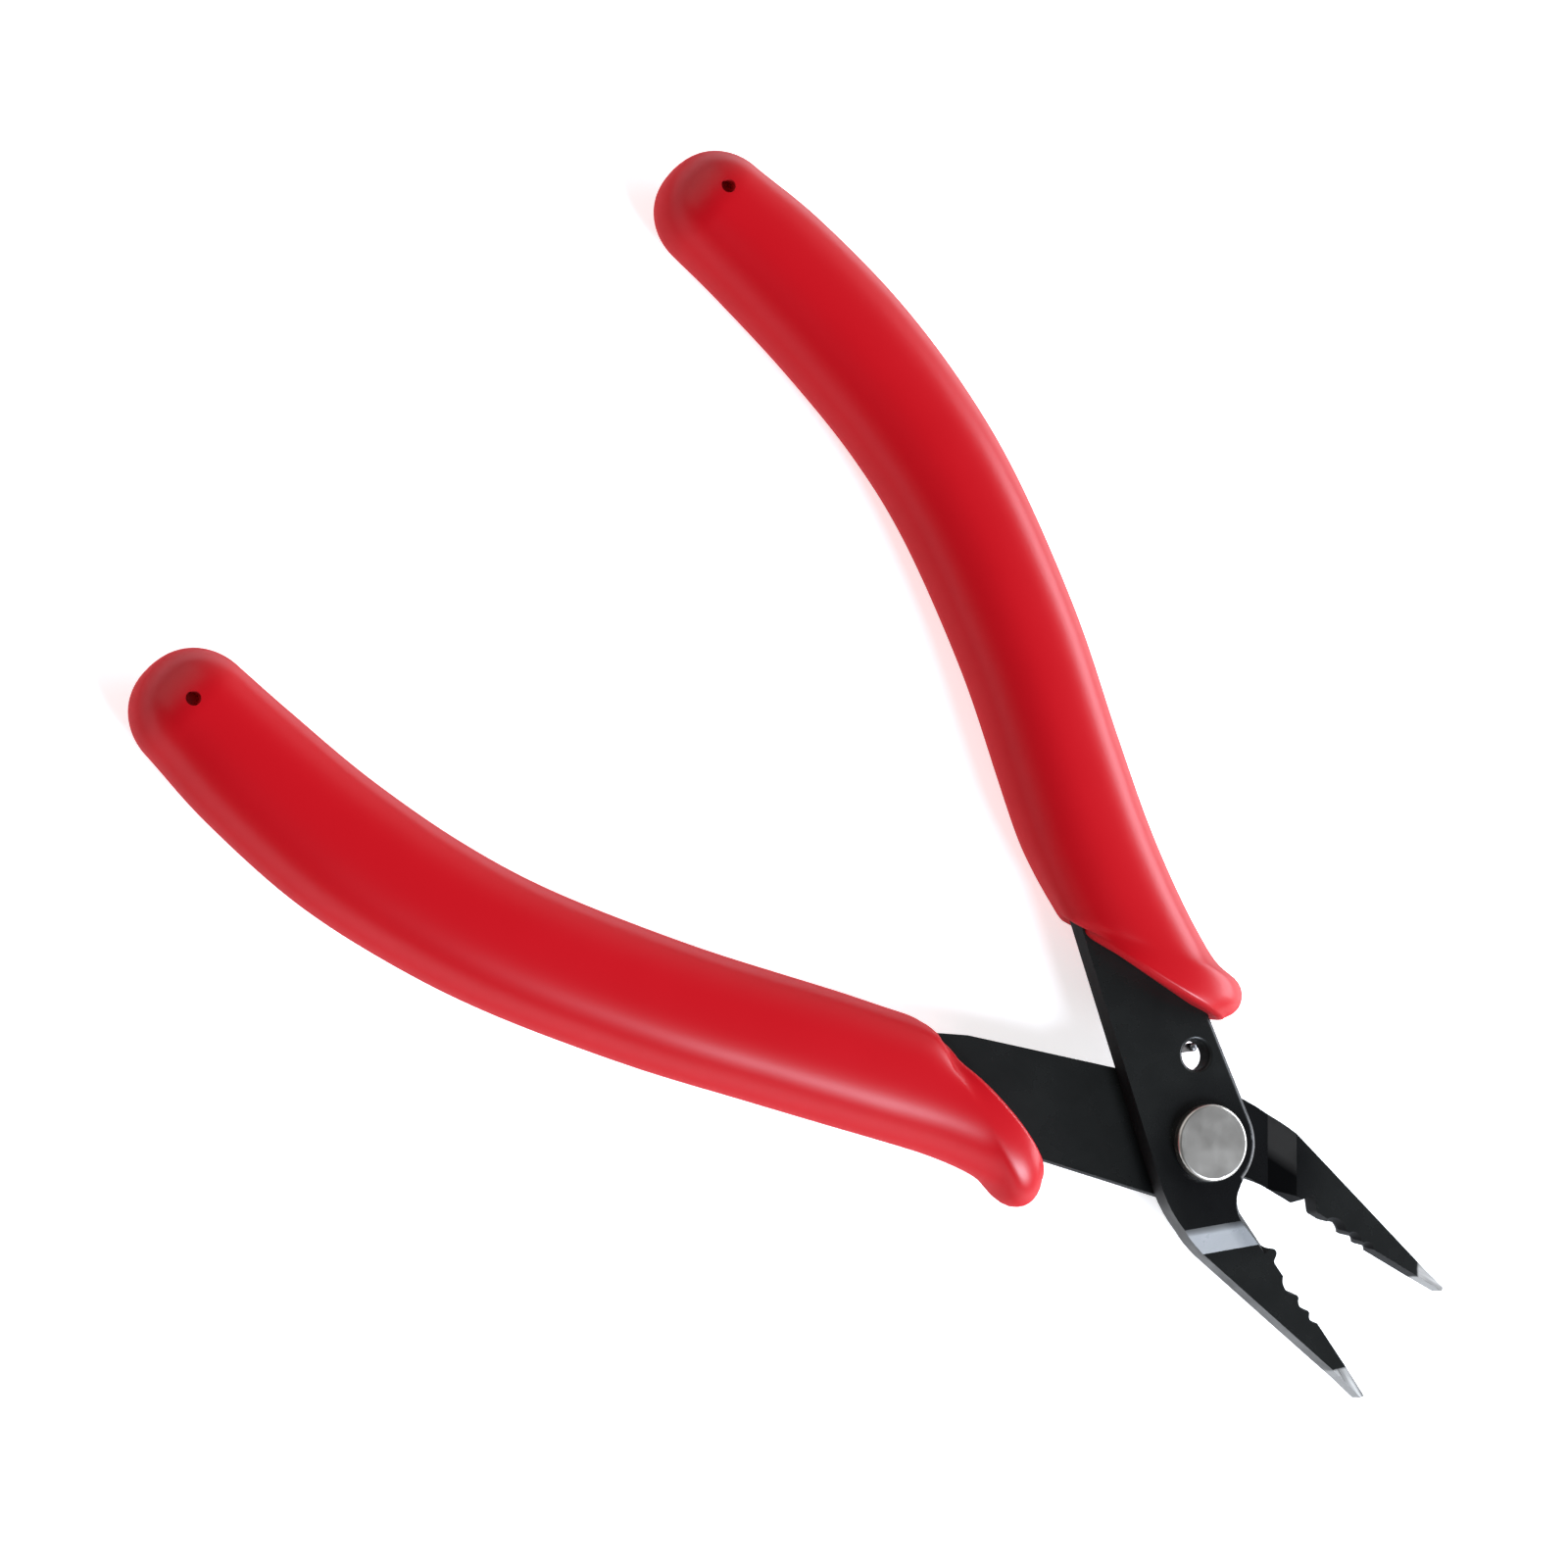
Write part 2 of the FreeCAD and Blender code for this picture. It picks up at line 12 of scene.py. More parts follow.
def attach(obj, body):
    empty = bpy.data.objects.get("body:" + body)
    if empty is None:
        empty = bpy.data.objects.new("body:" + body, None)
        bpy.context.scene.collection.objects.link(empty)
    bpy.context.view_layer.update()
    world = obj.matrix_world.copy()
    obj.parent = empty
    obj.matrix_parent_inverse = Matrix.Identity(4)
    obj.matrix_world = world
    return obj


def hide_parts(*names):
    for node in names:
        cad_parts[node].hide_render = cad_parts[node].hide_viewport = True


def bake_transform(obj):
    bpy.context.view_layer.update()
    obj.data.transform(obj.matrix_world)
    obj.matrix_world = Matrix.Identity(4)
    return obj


MM = 0.001
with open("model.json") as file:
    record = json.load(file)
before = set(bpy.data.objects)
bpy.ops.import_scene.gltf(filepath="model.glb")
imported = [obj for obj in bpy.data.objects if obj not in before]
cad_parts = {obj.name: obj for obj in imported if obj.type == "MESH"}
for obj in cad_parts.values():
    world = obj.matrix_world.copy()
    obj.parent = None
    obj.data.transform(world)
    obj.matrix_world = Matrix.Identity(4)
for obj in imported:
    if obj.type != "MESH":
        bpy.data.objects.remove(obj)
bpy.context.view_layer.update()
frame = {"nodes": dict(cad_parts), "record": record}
hinge = frame["record"]["behaviour"]["joints"][0]
PIVOT = Vector(hinge["pos_m"])
# Each lever's turn from the middle line at rest.
HALF_OPENING = math.radians(13.03)

# A lever's own frame: pivot at the origin, X along the jaws' closing line, Y to the handle's side, in mm.
LEVERS = {
    "front": Matrix.Translation(PIVOT) @ Matrix.Rotation(-HALF_OPENING, 4, "Z") @ Matrix.Scale(MM, 4),
    "rear": Matrix.Translation(PIVOT) @ Matrix.Rotation(HALF_OPENING, 4, "Z")
    @ Matrix.Rotation(math.pi, 4, "X") @ Matrix.Scale(MM, 4),
}

WIRE_SIDES, SLEEVE_SIDES, DRILL_SIDES = 14, 64, 28
# A wire's domed end, from its point inwards: how far past the path each ring lies and its size, in radii.
WIRE_DOME = [(0.55, 0.45), (0.4, 0.8)]
BORE_CREASE = math.radians(50)


# ---------------------------------------------------------------- mesh helpers
def smooth_stations(stations, step):
    """Fill in rows of numbers along a smooth curve through them, the first two moving on by about step."""
    rows = np.array(stations, float)
    ends = [2 * rows[0] - rows[1], *rows, 2 * rows[-1] - rows[-2]]
    filled = []
    for a, b, c, d in zip(ends, ends[1:], ends[2:], ends[3:]):
        count = max(2, math.ceil(np.linalg.norm((c - b)[:2]) / step))
        for t in np.linspace(0, 1, count, endpoint=False):
            filled.append(0.5 * (2 * b + (c - a) * t + (2 * a - 5 * b + 4 * c - d) * t**2
                                 + (3 * b - a - 3 * c + d) * t**3))
    return np.array([*filled, rows[-1]])


def skin(name, rings, matrix, material):
    """Skin a list of equal rings of points into a closed smooth mesh."""
    size = len(rings[0])
    verts = [matrix @ Vector(p) for ring in rings for p in ring]
    faces = [tuple(range(size)), tuple(range(len(verts) - size, len(verts)))]
    for i in range(len(rings) - 1):
        for j in range(size):
            k = (j + 1) % size
            faces.append((i * size + j, i * size + k, (i + 1) * size + k, (i + 1) * size + j))
    mesh = bpy.data.meshes.new(name)
    mesh.from_pydata(verts, [], faces)
    work = bmesh.new()
    work.from_mesh(mesh)
    bmesh.ops.recalc_face_normals(work, faces=work.faces)
    work.to_mesh(mesh)
    work.free()
    mesh.shade_smooth()
    mesh.materials.append(material)
    piece = bpy.data.objects.new(name, mesh)
    bpy.context.scene.collection.objects.link(piece)
    return piece


def tube(name, path, radius, matrix, material):
    """Round wire along a path of 3-D points, with domed ends."""
    turns = [2 * math.pi * k / WIRE_SIDES for k in range(WIRE_SIDES)]
    across = (path[1] - path[0]).orthogonal().normalized()
    last = len(path) - 1
    rings = []
    for i, point in enumerate(path):
        along = (path[min(i + 1, last)] - path[max(i - 1, 0)]).normalized()
        across = (across - along * across.dot(along)).normalized()
        beside = along.cross(across)
        spokes = [(across * math.cos(t) + beside * math.sin(t)) * radius for t in turns]
        steps = [(0.0, 1.0)]
        if i == 0:
            steps = [(-reach, share) for reach, share in WIRE_DOME] + steps
        elif i == last:
            steps += [(reach, share) for reach, share in reversed(WIRE_DOME)]
        for reach, share in steps:
            rings.append([point + along * reach * radius + spoke * share for spoke in spokes])
    return skin(name, rings, matrix, material)


def bore(piece, centre, axis, radius, depth):
    """Sink a blind round hole into a piece; the centre is on its surface and the axis points in."""
    mesh = bpy.data.meshes.new("drill")
    work = bmesh.new()
    bmesh.ops.create_cone(
        work, cap_ends=True, segments=DRILL_SIDES, radius1=radius, radius2=radius, depth=2 * depth)
    work.to_mesh(mesh)
    work.free()
    drill = bpy.data.objects.new("drill", mesh)
    drill.matrix_world = Matrix.Translation(centre) @ axis.to_track_quat("Z", "Y").to_matrix().to_4x4()
    bpy.context.scene.collection.objects.link(drill)
    cut = piece.modifiers.new("hole", "BOOLEAN")
    cut.operation, cut.solver, cut.object = "DIFFERENCE", "EXACT", drill
    graph = bpy.context.evaluated_depsgraph_get()
    piece.data = bpy.data.meshes.new_from_object(piece.evaluated_get(graph))
    piece.modifiers.clear()
    bpy.data.objects.remove(drill)
    piece.data.set_sharp_from_angle(angle=BORE_CREASE)


# ---------------------------------------------------------------- shader helper
class Shader:
    """A small builder for one material's node tree."""

    def __init__(self, name):
        self.material = bpy.data.materials.new(name)
        self.material.use_nodes = True
        self.tree = self.material.node_tree
        self.bsdf = self.tree.nodes["Principled BSDF"]

    def node(self, kind, **values):
        node = self.tree.nodes.new(kind)
        for key, value in values.items():
            if key in node.inputs:
                self.put(node.inputs[key], value)
            else:
                setattr(node, key, value)
        return node

    def put(self, socket, value):
        if isinstance(value, bpy.types.NodeSocket):
            self.tree.links.new(value, socket)
        else:
            socket.default_value = value

    def set(self, **values):
        for key, value in values.items():
            self.put(self.bsdf.inputs[key.replace("_", " ")], value)

    def place(self):
        return self.node("ShaderNodeTexCoord").outputs["Object"]

    def noise(self, scale, detail):
        grain = self.node("ShaderNodeTexNoise", Scale=scale, Detail=detail, Roughness=0.55)
        self.put(grain.inputs["Vector"], self.place())
        return grain.outputs["Fac"]

    def streaks(self, direction, scale, stretch):
        """Fine scratches that run along a direction in the row frame."""
        turn = Vector(direction).to_track_quat("X", "Z").to_euler()
        aligned = self.node("ShaderNodeMapping", vector_type="TEXTURE", Vector=self.place(), Rotation=turn)
        squeezed = self.node("ShaderNodeMapping", Vector=aligned.outputs[0], Scale=(1 / stretch, 1, 1))
        grain = self.node("ShaderNodeTexNoise", Vector=squeezed.outputs[0], Scale=scale, Detail=3.0)
        return grain.outputs["Fac"]

    def ramp(self, fac, low, high, start=0.0, end=1.0):
        """From low, where fac is at start or before it, evenly to high, where it is at end or past it."""
        node = self.node("ShaderNodeMapRange")
        values = {"Value": fac, "From Min": start, "From Max": end, "To Min": low, "To Max": high}
        for key, value in values.items():
            self.put(node.inputs[key], value)
        return node.outputs["Result"]

    def mix(self, fac, first, second):
        """Blend two colours; one that is the same all over is given as three numbers."""
        node = self.node("ShaderNodeMix", data_type="RGBA")
        self.put(node.inputs["Factor"], fac)
        for socket, colour in ((node.inputs[6], first), (node.inputs[7], second)):
            self.put(socket, (*colour, 1) if isinstance(colour, tuple) else colour)
        return node.outputs[2]

    def blend(self, fac, first, second):
        """Blend two numbers."""
        node = self.node("ShaderNodeMix", data_type="FLOAT")
        self.put(node.inputs["Factor"], fac)
        self.put(node.inputs[2], first)
        self.put(node.inputs[3], second)
        return node.outputs[0]

    def math(self, operation, first, second):
        node = self.node("ShaderNodeMath", operation=operation)
        self.put(node.inputs[0], first)
        self.put(node.inputs[1], second)
        return node.outputs[0]

    def times(self, first, second):
        return self.math("MULTIPLY", first, second)

    def plus(self, first, second):
        return self.math("ADD", first, second)

    def less(self, first, second):
        return self.math("SUBTRACT", first, second)

    def along(self, direction, origin):
        """Distance in mm from a point, along a direction of the row frame."""
        offset = self.node("ShaderNodeVectorMath", operation="SUBTRACT")
        self.put(offset.inputs[0], self.place())
        self.put(offset.inputs[1], origin)
        dot = self.node("ShaderNodeVectorMath", operation="DOT_PRODUCT")
        self.put(dot.inputs[0], offset.outputs[0])
        self.put(dot.inputs[1], Vector(direction) / MM)
        return dot.outputs["Value"]

    def facing_up(self):
        """0 on upright walls, 1 on level faces."""
        normal = self.node("ShaderNodeTexCoord").outputs["Normal"]
        lean = self.node("ShaderNodeSeparateXYZ", Vector=normal).outputs["Z"]
        return self.math("ABSOLUTE", lean, 0.0)

    def bump(self, height, strength, distance):
        node = self.node("ShaderNodeBump", Strength=strength, Distance=distance)
        self.put(node.inputs["Height"], height)
        return node.outputs["Normal"]


# ---------------------------------------------------------------- materials
def vinyl():
    """Soft dipped red vinyl: even colour, a faint cloud, a very fine orange peel, and matt upright sides."""
    s = Shader("soft_grip_vinyl")
    cloud, peel = s.noise(70.0, 2.0), s.noise(2600.0, 3.0)
    upright = s.ramp(s.facing_up(), 1.0, 0.0, 0.3, 0.8)
    s.set(Base_Color=s.mix(cloud, (0.43, 0.0, 0.004), (0.48, 0.0, 0.006)))
    s.set(Roughness=s.blend(upright, s.ramp(cloud, 0.30, 0.35), 0.9), Specular_IOR_Level=0.34)
    s.set(Normal=s.bump(peel, 0.06, 0.00002))
    return s.material


# Where a lever's finish and its painted highlight change, in mm ahead of the pivot along the jaw: where each
# change begins and ends.
WEAR_EDGE, BEND_EDGE, JAW_EDGE = (0.0, 3.0), (4.0, 4.2), (5.6, 5.9)
# These two are measured along a line turned by SLANT from the jaw's.
HIGHLIGHT_EDGE, TIP_EDGE = (7.4, 8.2), (22.5, 22.75)
SLANT = math.radians(27)
# The jaw's middle line runs back towards the closing line as it goes ahead.
MIDDLE_DROP, MIDDLE_SLOPE = 4.2, 0.137
# The painted shade's centre ahead of the pivot, and from there how far it is full and where it ends.
SHADE_CENTRE = 3.0
SHADE_REACH = {"front": (4.0, 9.2), "rear": (6.7, 10.5)}


def plate_masks(s, side, jaw, across, level, cloud):
    """Where a lever is worn, ground, bent, under the painted highlight on its bend and clear of the painted
    shade, each from 0 to 1.
    """
    ahead, aside = s.along(jaw, PIVOT), s.along(across, PIVOT)
    # worn: edges that lean over, from the boss forward, except on the closing side of the jaw
    leaning = s.ramp(level, 1.0, 0.0, 0.72, 0.96)
    jaw_middle = s.less(s.times(ahead, MIDDLE_SLOPE), MIDDLE_DROP)
    past_middle = s.ramp(s.less(aside, jaw_middle), 0.0, 1.0)
    closing = s.times(s.ramp(ahead, 0.0, 1.0, *JAW_EDGE), past_middle)
    open_side = s.times(s.ramp(ahead, 0.0, 1.0, *WEAR_EDGE), s.less(1.0, closing))
    worn = s.times(s.times(leaning, open_side), s.ramp(cloud, 0.75, 1.0, 0.35, 0.6))
    # ground: the tip beyond a slanting line, with a ragged border
    slanting = s.less(s.times(ahead, math.cos(SLANT)), s.times(aside, math.sin(SLANT)))
    ragged = s.plus(slanting, s.ramp(cloud, -0.35, 0.35))
    ground = s.ramp(ragged, 0.0, 1.0, *TIP_EDGE)
    # bent: the face between the two bends; bend_highlight: a painted highlight over most of it on the front
    # lever, with a soft upper edge
    tilted = s.times(s.ramp(level, 0.0, 1.0, 0.8, 0.86), s.ramp(level, 1.0, 0.0, 0.95, 0.98))
    bent = s.times(tilted, s.ramp(ahead, 0.0, 1.0, *BEND_EDGE))
    bend_highlight = s.times(bent, s.ramp(slanting, 0.0, 1.0 if side == "front" else 0.0, *HIGHLIGHT_EDGE))
    # unshaded: level faces away from the painted shade about the pivot and the bend; the painted shade also
    # covers upright walls
    from_shade_centre = s.less(ahead, SHADE_CENTRE)
    squared = s.plus(s.times(from_shade_centre, from_shade_centre), s.times(aside, aside))
    inner, outer = SHADE_REACH[side]
    unshaded = s.times(s.ramp(squared, 0.0, 1.0, inner**2, outer**2), s.ramp(level, 0.0, 1.0, 0.3, 0.9))
    return worn, ground, bent, bend_highlight, unshaded


def black_plate(side):
    """Black oxide on rolled plate, worn at the boss's rim and the jaw's back and ground off at the tip, with
    painted shade about the pivot and on upright walls and painted highlights on the front lever's bend and
    the tip's facets.
    """
    s = Shader(f"black_oxide_{side}")
    matrix = LEVERS[side].to_3x3().normalized()
    jaw, across = matrix.col[0], matrix.col[1]
    level = s.facing_up()
    cloud, fine = s.noise(300.0, 5.0), s.noise(6000.0, 4.0)
    scratches = s.streaks(jaw, 2600.0, 14.0)
    worn, ground, bent, bend_highlight, unshaded = plate_masks(s, side, jaw, across, level, cloud)
    # colours: oxide with painted shade and a painted highlight, then rubbed and bare steel, painted darker on
    # upright walls than on rims and facets
    plain_oxide = s.mix(cloud, (0.0055, 0.0060, 0.0057), (0.0105, 0.0112, 0.0105))
    # painted shade: a darker oxide about the pivot and the bend and on upright walls
    oxide = s.mix(unshaded, (0.0014, 0.0016, 0.0019), plain_oxide)
    # painted highlight: a lighter oxide on the front lever's bend
    oxide = s.mix(bend_highlight, oxide, (0.030, 0.032, 0.034))
    # painted shade: rubbed and bare steel darker on upright walls; painted highlight: the ground facets
    # lightened up to white
    shaded_rubbed_wall = s.mix(scratches, (0.02, 0.02, 0.019), (0.07, 0.068, 0.064))
    rubbed = s.mix(s.ramp(level, 0.0, 1.0, 0.1, 0.45), shaded_rubbed_wall, (0.30, 0.29, 0.275))
    shaded_bare_wall = s.mix(scratches, (0.07, 0.07, 0.068), (0.17, 0.17, 0.165))
    bare_facet_highlight = s.mix(scratches, (0.25, 0.245, 0.235), (1.0, 0.98, 0.94))
    bare = s.mix(s.ramp(level, 0.0, 1.0, 0.4, 0.9), shaded_bare_wall, bare_facet_highlight)
    s.set(Base_Color=s.mix(ground, s.mix(worn, oxide, rubbed), bare))
    # metallic: bare where worn, and a little more under the painted highlight on the bend
    wear_and_highlight = s.plus(s.times(worn, 0.8), s.times(bend_highlight, 0.15))
    s.set(Metallic=s.math("MINIMUM", s.plus(ground, wear_and_highlight), 1.0), Specular_IOR_Level=0.24)
    # roughness: walls are matt; the bent face, outside its painted highlight, is matt in front and oily on
    # the rear
    rough = s.blend(s.ramp(level, 1.0, 0.0, 0.3, 0.9), s.ramp(cloud, 0.22, 0.32), 0.8)
    rough = s.blend(s.less(bent, bend_highlight), rough, 0.65 if side == "front" else 0.14)
    rough = s.blend(worn, rough, 0.4)
    s.set(Roughness=s.blend(ground, rough, s.ramp(scratches, 0.2, 0.45)))
    height = s.plus(s.times(fine, 0.5), s.times(scratches, s.blend(ground, 0.3, 2.0)))
    s.set(Normal=s.bump(height, 0.12, 0.00001))
    return s.material


def bright_metal(name, colour, low, high):
    """Satin bare metal with a soft stain; low and high are its roughness."""
    s = Shader(name)
    cloud, fine = s.noise(450.0, 5.0), s.noise(9000.0, 4.0)
    stained = tuple(0.8 * c for c in colour)
    s.set(Base_Color=s.mix(cloud, stained, colour), Metallic=1.0)
    s.set(Roughness=s.ramp(cloud, low, high), Normal=s.bump(fine, 0.15, 0.00001))
    return s.material


# ---------------------------------------------------------------- grips
# Across a sleeve from its round end to its slanting mouth, in mm in its lever's frame: outer point, inner
# point, bow of the front sleeve's middle line (the rear one bows the other way) and, as a share of the
# section's half width, how far the section bulges towards the mouth.
SLEEVE = [
    (-97.1, 15.9, -94.3, 5.5, -0.10, 0),
    (-90.0, 18.35, -88.8, 6.65, 0.0, 0),
    (-80.0, 20.55, -80.0, 8.2, 0.08, 0),
    (-70.0, 21.2, -70.3, 9.1, 0.26, 0),
    (-60.0, 20.6, -61.0, 8.75, 0.32, 0),
    (-47.0, 18.3, -48.5, 6.6, 0.18, 0),
    (-36.0, 15.45, -38.5, 4.05, -0.14, 0),
    (-28.0, 13.4, -32.5, 2.35, -0.30, 0),
    (-22.5, 12.15, -29.3, 1.55, -0.22, 0),
    (-18.3, 11.35, -27.2, 1.05, -0.08, 0.05),
    (-15.0, 10.95, -25.9, 0.78, 0, 0.12),
    (-12.8, 10.9, -25.15, 0.65, 0, 0.2),
    (-11.3, 11.2, -24.7, 0.6, 0, 0.28),
    (-10.1, 11.65, -24.35, 0.65, 0, 0.36),
    (-9.1, 11.65, -24.1, 0.75, 0, 0.44),
    (-8.3, 11.15, -23.9, 0.85, 0, 0.52),
    (-7.85, 10.4, -23.7, 0.98, 0, 0.6),
    (-7.75, 9.5, -23.5, 1.12, 0, 0.68),
    (-7.95, 8.6, -23.3, 1.28, 0, 0.74),
]
MOUTH_OUTER, MOUTH_INNER, MOUTH_BULGE = np.array(SLEEVE[-1][0:2]), np.array(SLEEVE[-1][2:4]), SLEEVE[-1][5]
STATION_STEP = 0.8
# The rear sleeve sits this far along its lever and further from the closing line than the front one does.
REAR_SLIDE, REAR_LIFT = -4.9, 2.4
# A section's outline is a superellipse with these powers, so it is fuller than an oval.
ACROSS_POWER, UP_POWER, HALF_DEPTH = 2.6, 2.3, 4.97
# The round end: how far it stands out, the turns that its rings lie at, and how fast its section shrinks.
DOME_REACH, DOME_TURNS, DOME_DEPTH_POWER, DOME_WIDTH_POWER = 5.4, np.linspace(87, 3, 20), 0.8, 0.9
# The mouth's rolled lip: how far it comes in and stands out, and the turns that its rings lie at.
LIP, LIP_REACH, LIP_TURNS = 0.9, 0.495, (15, 30, 45, 60, 75, 88)
# The blind hole that a moulding pin leaves near the round end.
PIN_X, PIN_Y, PIN_RADIUS, PIN_DEPTH = -97.0, 10.9, 0.65, 1.4
# The set-back of the mouth's far side: how much at which places along the mouth, fading out behind it, and
# the height that it starts at and how much lower it is full.
SET_BACK_PLACES, SET_BACK_AMOUNTS, SET_BACK_FADE = (0, 3, 15), (1.0, 1.9, 0.3), 9
SET_BACK_TOP, SET_BACK_RUN = 2.5, 4


def mouthward(outer, inner):
    """Unit direction square to a section, towards the mouth."""
    half = (outer - inner) / 2
    return np.array([half[1], -half[0]]) / np.linalg.norm(half)


def section(outer, inner, depth, width, bulge=0.0):
    """Rounded cross-section between an outer and an inner point."""
    middle, half = (outer + inner) / 2, (outer - inner) / 2
    ahead = mouthward(outer, inner)
    ring = []
    for k in range(SLEEVE_SIDES):
        turn = 2 * math.pi * k / SLEEVE_SIDES
        across = math.copysign(abs(math.cos(turn)) ** (2 / ACROSS_POWER), math.cos(turn))
        up = math.copysign(abs(math.sin(turn)) ** (2 / UP_POWER), math.sin(turn))
        x, y = middle + half * across * width + ahead * bulge * (1 - across**2)
        ring.append((x, y, up * depth))
    return ring


def set_back(x, y, z):
    """The mouth on the tang's far side lies further back than on its near side, most at the inner corner."""
    inward = -mouthward(MOUTH_OUTER, MOUTH_INNER)
    along = np.array([inward[1], -inward[0]])
    offset = np.array([x, y]) - MOUTH_INNER
    behind = np.clip(offset @ inward / SET_BACK_FADE, 0, 1)
    amount = np.interp(offset @ along, SET_BACK_PLACES, SET_BACK_AMOUNTS)
    side = np.clip((SET_BACK_TOP - z) / SET_BACK_RUN, 0, 1)
    x, y = (x, y) + inward * amount * (1 - behind) ** 2 * side**2 * (3 - 2 * side)
    return (x, y, z)


def grip(name, side):
    """One sleeve: domed end, bowed body, fanned sections to the slanting mouth and its rolled lip."""
    rows = smooth_stations(SLEEVE, STATION_STEP)
    bow = np.c_[0 * rows[:, 4], rows[:, 4]] * (1 if side == "front" else -1)
    outer, inner = rows[:, 0:2] + bow, rows[:, 2:4] + bow
    rings = []
    back = -mouthward(outer[0], inner[0])
    for turn in np.radians(DOME_TURNS):
        reach = back * DOME_REACH * math.sin(turn)
        depth, width = HALF_DEPTH * math.cos(turn) ** DOME_DEPTH_POWER, math.cos(turn) ** DOME_WIDTH_POWER
        rings.append(section(outer[0] + reach, inner[0] + reach, depth, width))
    for a, b, row in zip(outer, inner, rows):
        rings.append(section(a, b, HALF_DEPTH, 1.0, row[5]))
    ahead = mouthward(outer[-1], inner[-1])
    half_width = np.linalg.norm(outer[-1] - inner[-1]) / 2
    for turn in np.radians(LIP_TURNS):
        inset, reach = LIP * (1 - math.cos(turn)), ahead * LIP_REACH * math.sin(turn)
        rings.append(section(outer[-1] + reach, inner[-1] + reach, HALF_DEPTH - inset,
                             1 - inset / half_width, MOUTH_BULGE))
    rings = [[set_back(*point) for point in ring] for ring in rings]
    matrix, upper = LEVERS[side], 1
    if side == "rear":
        matrix, upper = matrix @ Matrix.Translation((REAR_SLIDE, REAR_LIFT, 0)), -1
    piece = skin(name, rings, matrix, VINYL)
    pin = matrix @ Vector((PIN_X, PIN_Y, upper * HALF_DEPTH))
    bore(piece, pin, Vector((0, 0, -1)), PIN_RADIUS * MM, PIN_DEPTH * MM)
    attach(piece, f"{side}_half")
    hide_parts(f"{side}_grip")


# ---------------------------------------------------------------- spring
WIRE_RADIUS, WIRE_BEND, COIL_RADIUS, COIL_PITCH, COIL_TOP, COIL_STEPS = 0.4, 1.0, 2.45, 0.86, -2.48, 96
# Where the spring's ends stand, in mm from the pivot: in the front lever's hole and behind the rear lever.
HOOK, HOOK_TOP = Vector((-6.76, 5.82)), 1.7
STOP, STOP_TOP = Vector((-9.46, 0.98)), -0.3


def leg(foot, end, top):
    """A leg's points from its upright end's top down, round the bend and along to the coil."""
    corner = Vector((end.x, end.y, foot.z))
    along = (foot - corner).normalized()
    points = [corner + Vector((0, 0, top - foot.z)) * t + Vector((0, 0, WIRE_BEND)) * (1 - t)
              for t in np.linspace(1, 0, 5)]
    for turn in np.radians(np.linspace(10, 80, 8)):
        across, down = WIRE_BEND * (1 - math.cos(turn)), WIRE_BEND * (1 - math.sin(turn))
        points.append(corner + along * across + Vector((0, 0, down)))
    return points + [(corner + along * WIRE_BEND).lerp(foot, t) for t in np.linspace(0, 0.97, 14)]


def spring():
    """Round wire: a coil and a half under the rivet, a leg hooked in the front lever, one behind the rear."""
    start = math.atan2(HOOK.y, HOOK.x) - math.acos(COIL_RADIUS / HOOK.length)
    stop = math.atan2(STOP.y, STOP.x) + math.acos(COIL_RADIUS / STOP.length)
    turned = start - stop + 4 * math.pi
    coil = []
    for i in range(COIL_STEPS + 1):
        turn = turned * i / COIL_STEPS
        x, y = COIL_RADIUS * math.cos(start - turn), COIL_RADIUS * math.sin(start - turn)
        coil.append(Vector((x, y, COIL_TOP - COIL_PITCH * turn / (2 * math.pi))))
    path = leg(coil[0], HOOK, HOOK_TOP) + coil + leg(coil[-1], STOP, STOP_TOP)[::-1]
    matrix = Matrix.Translation(PIVOT) @ Matrix.Scale(MM, 4)
    piece = tube("return_spring_wire", path, WIRE_RADIUS, matrix, WIRE)
    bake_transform(piece)
    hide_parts("return_spring")


# ---------------------------------------------------------------- stage
def softbox(name, azimuth, elevation, distance, width, height, power, colour=(1, 1, 1)):
    """A soft rectangular lamp that looks at the pivot."""
    az, el = math.radians(azimuth), math.radians(elevation)
    direction = Vector((math.cos(el) * math.cos(az), math.cos(el) * math.sin(az), math.sin(el)))
    light = bpy.data.lights.new(name, "AREA")
    light.shape = "RECTANGLE"
    light.size, light.size_y, light.energy, light.color = width, height, power, colour
    lamp = bpy.data.objects.new(name, light)
    lamp.location = PIVOT + direction * distance
    lamp.rotation_euler = direction.to_track_quat("Z", "Y").to_euler()
    bpy.context.scene.collection.objects.link(lamp)


# Level direction from the camera's side of the tool to beyond it.
BEYOND = (math.cos(math.radians(60)), math.sin(math.radians(60)), 0)


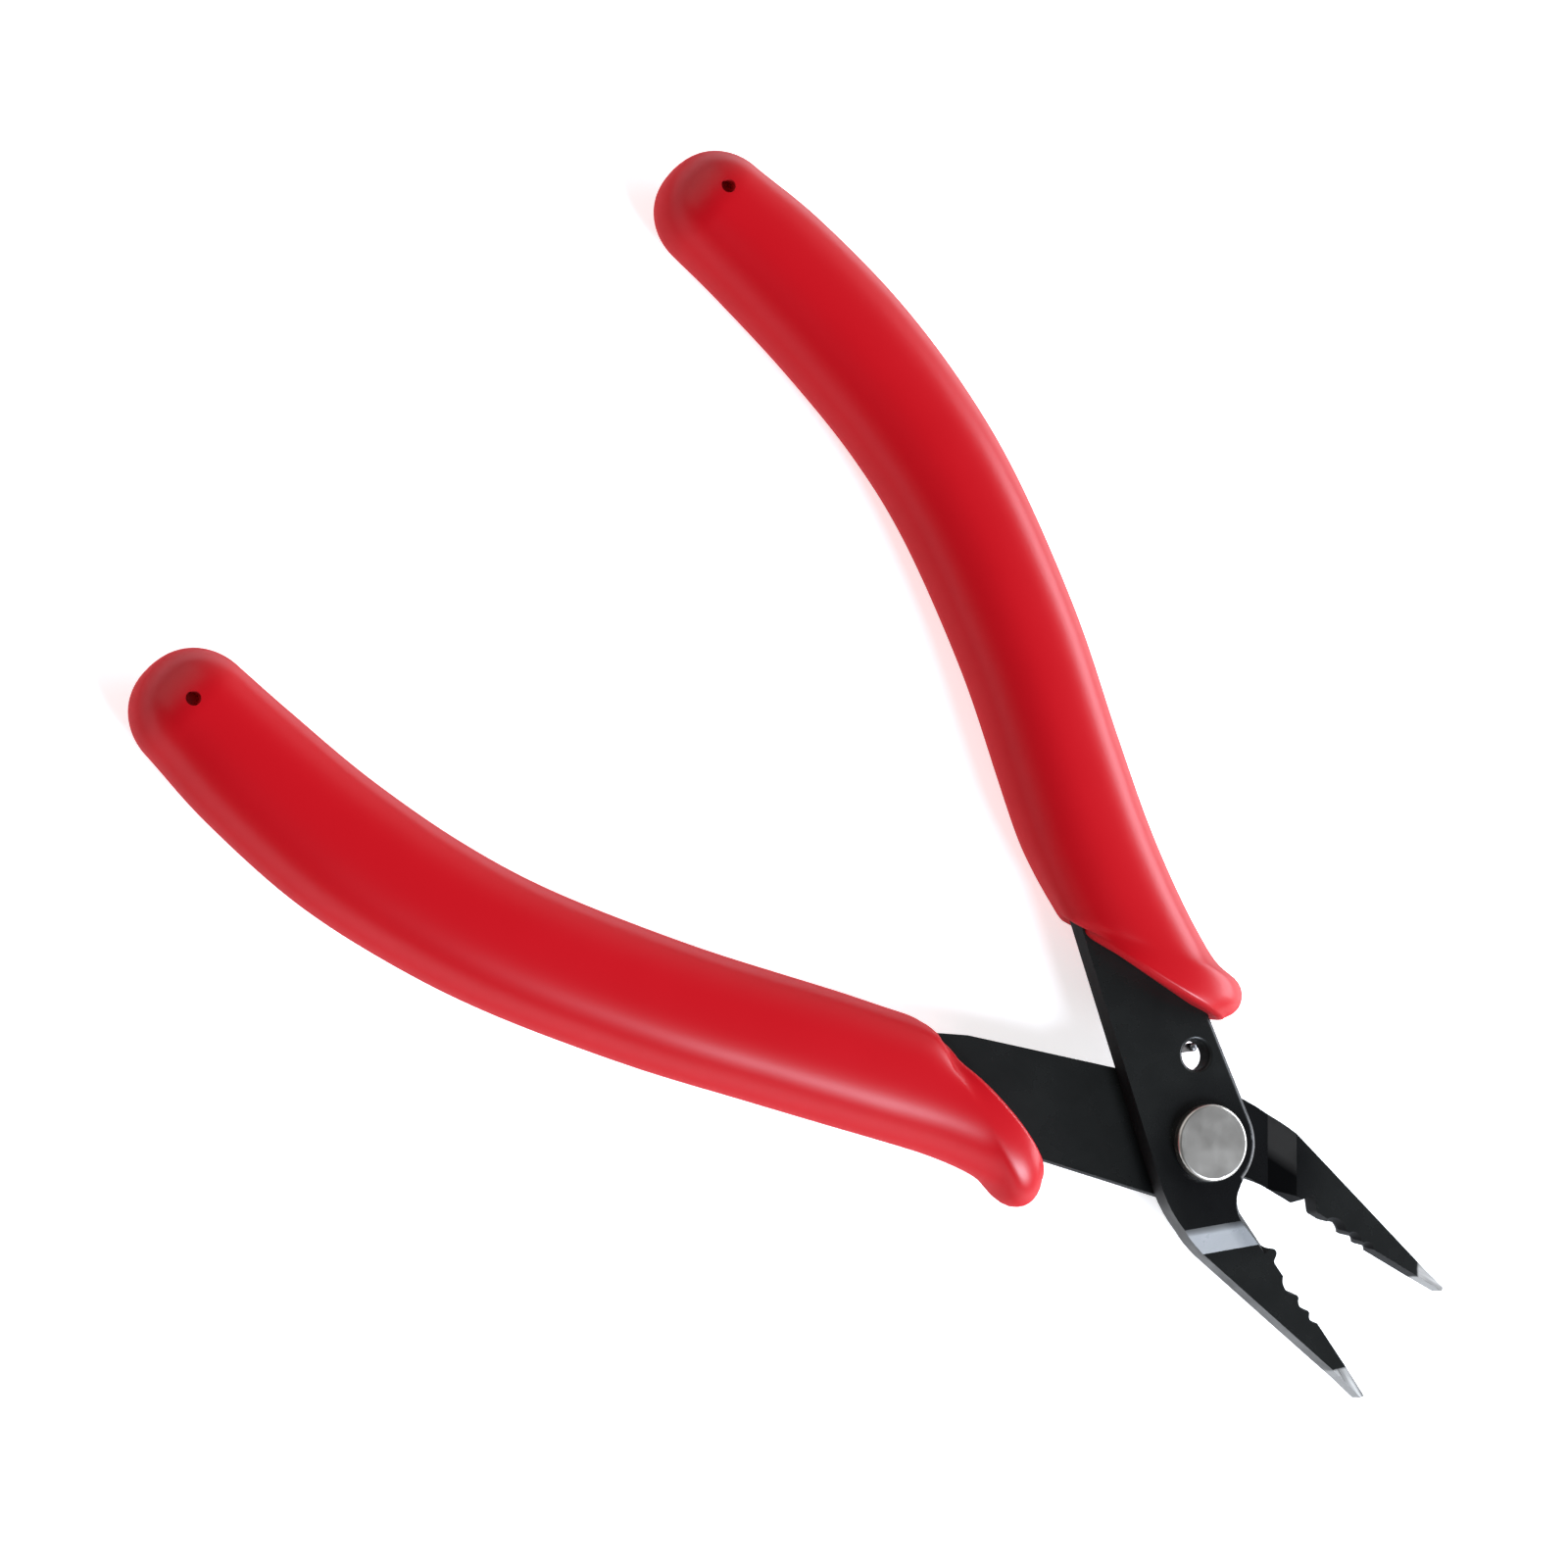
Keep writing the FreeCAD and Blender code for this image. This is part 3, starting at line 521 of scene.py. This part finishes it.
def surroundings():
    """A room, pale at the horizon, darker overhead, and brighter beyond the tool than at the camera."""
    world = bpy.data.worlds.new("studio")
    bpy.context.scene.world = world
    world.use_nodes = True
    tree = world.node_tree
    coords = tree.nodes.new("ShaderNodeTexCoord")
    split = tree.nodes.new("ShaderNodeSeparateXYZ")
    ramp = tree.nodes.new("ShaderNodeValToRGB")
    tree.links.new(coords.outputs["Generated"], split.inputs[0])
    tree.links.new(split.outputs["Z"], ramp.inputs[0])
    stops = ramp.color_ramp.elements
    stops[0].color, stops[1].color = (0.6, 0.6, 0.61, 1), (0.12, 0.12, 0.125, 1)
    for height, level in ((0.22, 0.55), (0.5, 0.42), (0.75, 0.17)):
        stops.new(height).color = (level, level, level * 1.02, 1)
    side = tree.nodes.new("ShaderNodeVectorMath")
    side.operation = "DOT_PRODUCT"
    tree.links.new(coords.outputs["Generated"], side.inputs[0])
    side.inputs[1].default_value = BEYOND
    strength = tree.nodes.new("ShaderNodeMapRange")
    tree.links.new(side.outputs["Value"], strength.inputs["Value"])
    for key, value in (("From Min", -1.0), ("From Max", 1.0), ("To Min", 0.6), ("To Max", 1.35)):
        strength.inputs[key].default_value = value
    back = tree.nodes["Background"]
    tree.links.new(ramp.outputs[0], back.inputs[0])
    tree.links.new(strength.outputs[0], back.inputs[1])


FLOOR = 3.0  # half its side, in metres


def floor():
    """Pale table that glows, so that it comes out nearly as white as the photograph's background."""
    mesh = bpy.data.meshes.new("floor")
    mesh.from_pydata([(-FLOOR, -FLOOR, 0), (FLOOR, -FLOOR, 0), (FLOOR, FLOOR, 0), (-FLOOR, FLOOR, 0)],
                     [], [(0, 1, 2, 3)])
    s = Shader("floor_paper")
    grain = s.noise(60.0, 3.0)
    s.set(Base_Color=s.mix(grain, (0.88, 0.88, 0.88), (0.91, 0.91, 0.91)), Roughness=0.85)
    s.set(Emission_Color=(1, 1, 1, 1), Emission_Strength=0.62)
    mesh.materials.append(s.material)
    table = bpy.data.objects.new("floor", mesh)
    bpy.context.scene.collection.objects.link(table)


# The camera's place from the pivot in metres, where it looks, and what is up in its picture.
EYE = Vector((-0.12360, -0.12614, 0.34078))
FORWARD, UPWARD = Vector((0.1943, 0.33335, -0.92256)), Vector((-0.68334, 0.72074, 0.11651))
FOCAL_LENGTH, SENSOR_WIDTH = 94.53, 36.0


def camera():
    """Long lens from above the handles' rear side, rolled so that the jaws point down to the right."""
    data = bpy.data.cameras.new("camera")
    data.lens, data.sensor_width, data.clip_start = FOCAL_LENGTH, SENSOR_WIDTH, 0.01
    eye = bpy.data.objects.new("camera", data)
    forward = FORWARD.normalized()
    right = forward.cross(UPWARD).normalized()
    turn = Matrix((right, right.cross(forward), -forward)).transposed().to_4x4()
    eye.matrix_world = Matrix.Translation(PIVOT + EYE) @ turn
    bpy.context.scene.collection.objects.link(eye)
    bpy.context.scene.camera = eye
    bpy.context.scene.view_settings.view_transform = "Standard"


# ---------------------------------------------------------------- build
VINYL = vinyl()
WIRE = bright_metal("spring_steel", (0.20, 0.20, 0.205), 0.28, 0.4)
RIVET = bright_metal("satin_rivet", (0.58, 0.555, 0.51), 0.24, 0.44)
finishes = {"pivot_rivet": RIVET, "spring_washer": RIVET}
for side in ("front", "rear"):
    grip(f"{side}_grip_sleeve", side)
    finishes[f"{side}_lever"] = black_plate(side)
spring()
for node, finish in finishes.items():
    for slot in frame["nodes"][node].material_slots:
        slot.material = finish

surroundings()
floor()
softbox("key", -15, 42, 1.2, 0.5, 0.45, 21.0, (0.80, 0.88, 1.0))
softbox("side", 50, 20, 1.1, 0.9, 0.5, 13.0, (0.84, 0.90, 1.0))
softbox("back", 172, 36, 1.2, 1.4, 0.9, 3.3)
camera()
